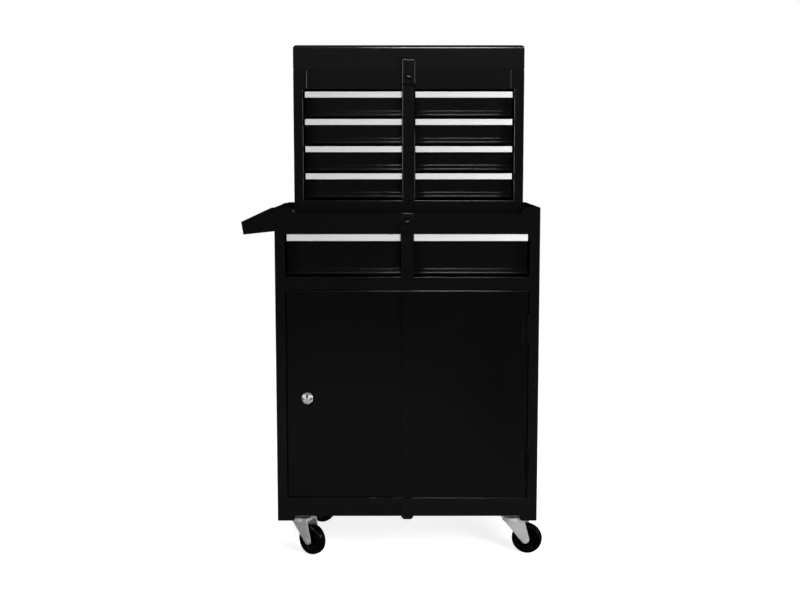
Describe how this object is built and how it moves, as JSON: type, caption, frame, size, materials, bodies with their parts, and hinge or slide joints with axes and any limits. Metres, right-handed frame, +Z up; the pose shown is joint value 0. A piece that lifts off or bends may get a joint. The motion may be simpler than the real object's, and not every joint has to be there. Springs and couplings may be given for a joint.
{
  "type": "rolling tool cabinet",
  "caption": "Wheeled steel tool cabinet with a lidded top chest, columns of shallow drawers, a cupboard door and an open side tray.",
  "frame": {"origin": "on the floor, under the middle of the whole object's box", "axes": "+Z up, -Y out of the front, +X to the viewer's right"},
  "size_m": [0.642, 0.3474, 1.0871],
  "materials": {
    "black_paint": "gloss",
    "satin_aluminium": "satin",
    "chrome": "polished",
    "zinc_plate": "zinc plated",
    "wheel_plastic": "satin"
  },
  "bodies": {
    "cabinet": {"cabinet_shell": "black_paint", "cabinet_front_frame": "black_paint", "chest_seat": "black_paint", "cabinet_floor": "black_paint", "cabinet_shelf": "black_paint", "cabinet_divider": "black_paint", "side_tray": "black_paint", "cabinet_centre_bar": "black_paint", "centre_bar_foot": "black_paint", "chest_shell": "black_paint", "chest_front_frame": "black_paint", "chest_top_tray": "black_paint", "chest_divider": "black_paint", "chest_centre_bar": "black_paint", "lid_hinge_body_leaf": "black_paint", "lower_hinge_frame_leaf": "black_paint", "upper_hinge_frame_leaf": "black_paint", "front_left_caster_plate": "zinc_plate", "front_right_caster_plate": "zinc_plate", "rear_left_caster_plate": "zinc_plate", "rear_right_caster_plate": "zinc_plate"},
    "door": {"door": "black_paint", "door_centre_strip": "black_paint", "lower_hinge_door_leaf": "black_paint", "upper_hinge_door_leaf": "black_paint"},
    "door_lock": {"door_lock_knob": "chrome", "door_lock_cam": "zinc_plate"},
    "cabinet_lock": {"cabinet_lock": "chrome"},
    "chest_lock": {"chest_lock": "chrome"},
    "lid": {"chest_lid": "black_paint", "chest_lid_band": "black_paint", "lid_hinge_lid_leaf": "black_paint"},
    "chest_drawer_left_1": {"chest_drawer_left_1": "black_paint", "chest_pull_left_1": "satin_aluminium"},
    "chest_drawer_right_1": {"chest_drawer_right_1": "black_paint", "chest_pull_right_1": "satin_aluminium"},
    "chest_drawer_left_2": {"chest_drawer_left_2": "black_paint", "chest_pull_left_2": "satin_aluminium"},
    "chest_drawer_right_2": {"chest_drawer_right_2": "black_paint", "chest_pull_right_2": "satin_aluminium"},
    "chest_drawer_left_3": {"chest_drawer_left_3": "black_paint", "chest_pull_left_3": "satin_aluminium"},
    "chest_drawer_right_3": {"chest_drawer_right_3": "black_paint", "chest_pull_right_3": "satin_aluminium"},
    "chest_drawer_left_4": {"chest_drawer_left_4": "black_paint", "chest_pull_left_4": "satin_aluminium"},
    "chest_drawer_right_4": {"chest_drawer_right_4": "black_paint", "chest_pull_right_4": "satin_aluminium"},
    "cabinet_drawer_left": {"cabinet_drawer_left": "black_paint", "cabinet_pull_left": "satin_aluminium"},
    "cabinet_drawer_right": {"cabinet_drawer_right": "black_paint", "cabinet_pull_right": "satin_aluminium"},
    "front_left_fork": {"front_left_fork": "zinc_plate"},
    "front_left_wheel": {"front_left_wheel": "wheel_plastic"},
    "front_right_fork": {"front_right_fork": "zinc_plate"},
    "front_right_wheel": {"front_right_wheel": "wheel_plastic"},
    "rear_left_fork": {"rear_left_fork": "zinc_plate"},
    "rear_left_wheel": {"rear_left_wheel": "wheel_plastic"},
    "rear_right_fork": {"rear_right_fork": "zinc_plate"},
    "rear_right_wheel": {"rear_right_wheel": "wheel_plastic"}
  },
  "joints": [
    {"name": "lid_hinge", "type": "hinge", "parent": "cabinet", "child": "lid", "pos_m": [0.03082, 0.12864, 1.03545], "axis": [-1, 0, 0], "range_deg": [0, 95]},
    {"name": "door_hinge", "type": "hinge", "parent": "cabinet", "child": "door", "pos_m": [0.28457, -0.16056, 0.3525], "axis": [0, 0, 1], "range_deg": [0, 110]},
    {"name": "door_lock_turn", "type": "hinge", "parent": "door", "child": "door_lock", "pos_m": [-0.18518, -0.15626, 0.3449], "axis": [0, 1, 0], "range_deg": [0, 90]},
    {"name": "cabinet_lock_turn", "type": "hinge", "parent": "cabinet", "child": "cabinet_lock", "pos_m": [0.02782, -0.16256, 0.7195], "axis": [0, 1, 0], "range_deg": [0, 90]},
    {"name": "chest_lock_turn", "type": "hinge", "parent": "cabinet", "child": "chest_lock", "pos_m": [0.03082, -0.14856, 1.0207], "axis": [0, 1, 0], "range_deg": [0, 90]},
    {"name": "chest_drawer_left_1_slide", "type": "slide", "parent": "cabinet", "child": "chest_drawer_left_1", "axis": [0, -1, 0], "range_m": [0, 0.19]},
    {"name": "chest_drawer_right_1_slide", "type": "slide", "parent": "cabinet", "child": "chest_drawer_right_1", "axis": [0, -1, 0], "range_m": [0, 0.19]},
    {"name": "chest_drawer_left_2_slide", "type": "slide", "parent": "cabinet", "child": "chest_drawer_left_2", "axis": [0, -1, 0], "range_m": [0, 0.19]},
    {"name": "chest_drawer_right_2_slide", "type": "slide", "parent": "cabinet", "child": "chest_drawer_right_2", "axis": [0, -1, 0], "range_m": [0, 0.19]},
    {"name": "chest_drawer_left_3_slide", "type": "slide", "parent": "cabinet", "child": "chest_drawer_left_3", "axis": [0, -1, 0], "range_m": [0, 0.19]},
    {"name": "chest_drawer_right_3_slide", "type": "slide", "parent": "cabinet", "child": "chest_drawer_right_3", "axis": [0, -1, 0], "range_m": [0, 0.19]},
    {"name": "chest_drawer_left_4_slide", "type": "slide", "parent": "cabinet", "child": "chest_drawer_left_4", "axis": [0, -1, 0], "range_m": [0, 0.19]},
    {"name": "chest_drawer_right_4_slide", "type": "slide", "parent": "cabinet", "child": "chest_drawer_right_4", "axis": [0, -1, 0], "range_m": [0, 0.19]},
    {"name": "cabinet_drawer_left_slide", "type": "slide", "parent": "cabinet", "child": "cabinet_drawer_left", "axis": [0, -1, 0], "range_m": [0, 0.24]},
    {"name": "cabinet_drawer_right_slide", "type": "slide", "parent": "cabinet", "child": "cabinet_drawer_right", "axis": [0, -1, 0], "range_m": [0, 0.24]},
    {"name": "front_left_swivel", "type": "hinge", "parent": "cabinet", "child": "front_left_fork", "pos_m": [-0.20218, -0.12526, 0.06], "axis": [0, 0, 1], "continuous": true},
    {"name": "front_left_roll", "type": "hinge", "parent": "front_left_fork", "child": "front_left_wheel", "pos_m": [-0.17803, -0.14625, 0.033], "axis": [0.6561, 0.7547, 0], "continuous": true},
    {"name": "front_right_swivel", "type": "hinge", "parent": "cabinet", "child": "front_right_fork", "pos_m": [0.25782, -0.12526, 0.06], "axis": [0, 0, 1], "continuous": true},
    {"name": "front_right_roll", "type": "hinge", "parent": "front_right_fork", "child": "front_right_wheel", "pos_m": [0.28789, -0.1362, 0.033], "axis": [0.342, 0.9397, 0], "continuous": true},
    {"name": "rear_left_swivel", "type": "hinge", "parent": "cabinet", "child": "rear_left_fork", "pos_m": [-0.20218, 0.11174, 0.06], "axis": [0, 0, 1], "continuous": true},
    {"name": "rear_left_roll", "type": "hinge", "parent": "rear_left_fork", "child": "rear_left_wheel", "pos_m": [-0.17392, 0.09672, 0.033], "axis": [0.4695, 0.8829, 0], "continuous": true},
    {"name": "rear_right_swivel", "type": "hinge", "parent": "cabinet", "child": "rear_right_fork", "pos_m": [0.25782, 0.11174, 0.06], "axis": [0, 0, 1], "continuous": true},
    {"name": "rear_right_roll", "type": "hinge", "parent": "rear_right_fork", "child": "rear_right_wheel", "pos_m": [0.28789, 0.12269, 0.033], "axis": [-0.342, 0.9397, 0], "continuous": true}
  ]
}
